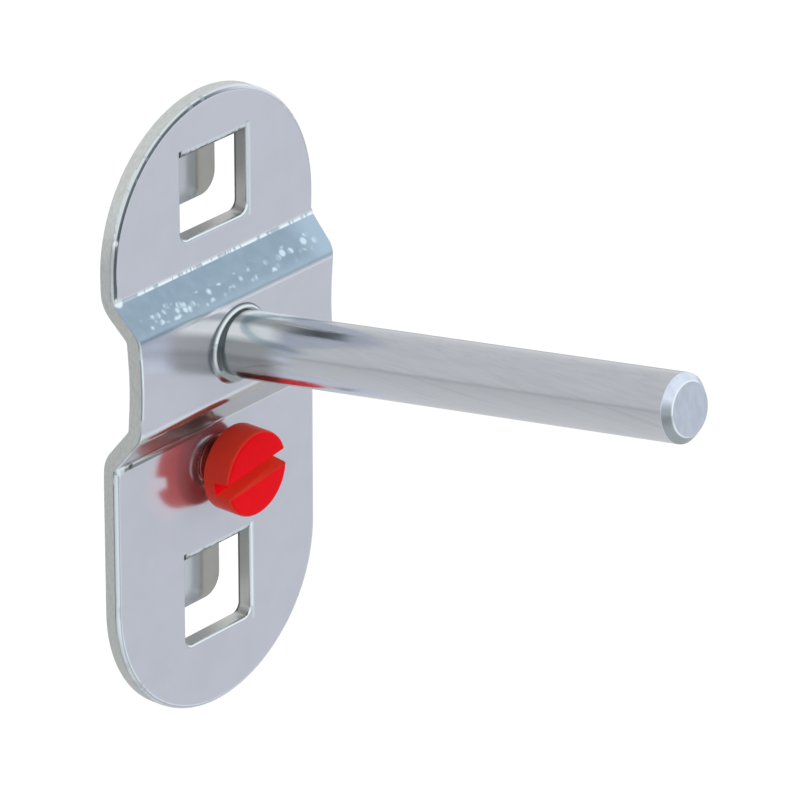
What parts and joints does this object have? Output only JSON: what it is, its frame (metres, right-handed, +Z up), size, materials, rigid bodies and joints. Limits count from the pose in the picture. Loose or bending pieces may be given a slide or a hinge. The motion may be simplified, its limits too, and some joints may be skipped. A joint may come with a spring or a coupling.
{
  "type": "tool hook",
  "caption": "Stepped metal plate with round ends that hooks into a perforated panel, with a round peg sloping up and out of its raised band and a slotted plastic locking screw.",
  "frame": {"origin": "in the plane of the plate's back, which lies on the panel's face, at the middle of the plate's outline", "axes": "+Z up, -Y out of the panel towards the user, +X to the right as seen from the front"},
  "size_m": [0.0262, 0.057, 0.058],
  "materials": {
    "zinc_sheet": "bright zinc plating",
    "zinc_rod": "bright zinc plating",
    "red_plastic": "moulded, glossy"
  },
  "bodies": {
    "holder": {"back_plate": "zinc_sheet", "peg": "zinc_rod"},
    "locking_screw": {"screw_head": "red_plastic", "screw_stud": "zinc_rod"}
  },
  "joints": [
    {"name": "screw_travel", "type": "slide", "parent": "holder", "child": "locking_screw", "axis": [0, -1, 0], "range_m": [-0.0016, 0.0024]}
  ]
}
